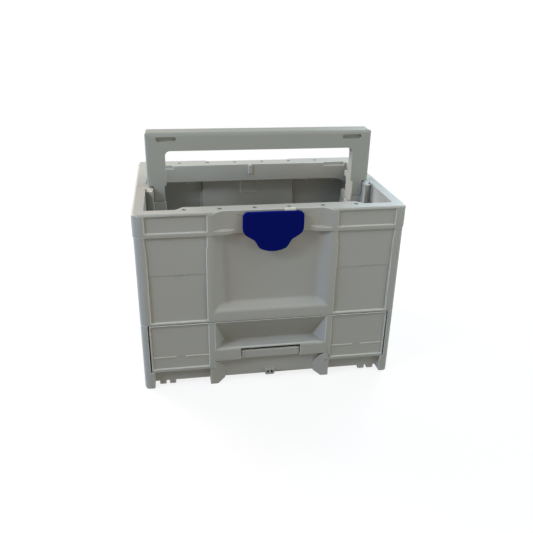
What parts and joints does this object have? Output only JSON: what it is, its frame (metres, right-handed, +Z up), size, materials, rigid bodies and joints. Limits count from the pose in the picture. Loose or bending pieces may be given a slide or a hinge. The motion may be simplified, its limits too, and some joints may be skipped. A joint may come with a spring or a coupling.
{
  "type": "stacking tool case",
  "caption": "Open-topped stacking tool case with a folding bail handle, a turning front latch, a pull-out base drawer with a release slide, and accessory holes along the rim.",
  "frame": {"origin": "on the floor, under the middle of the case's footprint", "axes": "+X to the viewer's right when facing the drawer, +Y from the drawer front to the back, +Z up"},
  "size_m": [0.396, 0.296, 0.3715],
  "materials": {
    "case_plastic": "fine-grained light grey ABS",
    "handle_plastic": "fine-grained light grey ABS",
    "guide_plastic": "smooth dark grey plastic",
    "latch_plastic": "satin deep blue plastic",
    "tab_plastic": "satin off-white plastic",
    "steel": "zinc-plated steel"
  },
  "bodies": {
    "case": {"rim_frame": "case_plastic", "upper_box": "case_plastic", "base_carcass": "case_plastic", "rim_screws": "steel", "floor_screws": "steel", "left_handle_bracket": "case_plastic", "right_handle_bracket": "case_plastic", "bracket_screws": "steel", "left_pivot_pin": "steel", "right_pivot_pin": "steel", "latch_detent_spring": "steel", "coupling_eyelet": "case_plastic", "left_runner": "guide_plastic", "right_runner": "guide_plastic", "runner_screws": "steel", "drawer_stops": "guide_plastic"},
    "handle": {"handle_front_shell": "handle_plastic", "handle_rear_shell": "handle_plastic", "handle_screws": "steel"},
    "latch": {"latch_blade": "latch_plastic", "latch_hook_plate": "tab_plastic", "latch_retainer": "steel", "latch_screw": "steel"},
    "drawer": {"drawer_front": "case_plastic", "drawer_tray": "case_plastic", "drawer_front_screws": "steel", "release_cover": "guide_plastic", "release_screws": "steel", "release_springs": "steel"},
    "release": {"release_slide": "case_plastic"}
  },
  "joints": [
    {"name": "handle_fold", "type": "hinge", "parent": "case", "child": "handle", "pos_m": [0, 0, 0.266], "axis": [1, 0, 0], "range_deg": [-90, 0]},
    {"name": "latch_turn", "type": "hinge", "parent": "case", "child": "latch", "pos_m": [0, -0.14, 0.262], "axis": [0, 1, 0], "range_deg": [0, 180]},
    {"name": "drawer_slide", "type": "slide", "parent": "case", "child": "drawer", "axis": [0, -1, 0], "range_m": [0, 0.215]},
    {"name": "release_lift", "type": "slide", "parent": "drawer", "child": "release", "axis": [0, 0, 1], "range_m": [0, 0.004], "stiffness_N_per_m": 200, "springref_m": -0.002, "deforming": ["release_springs"]}
  ]
}
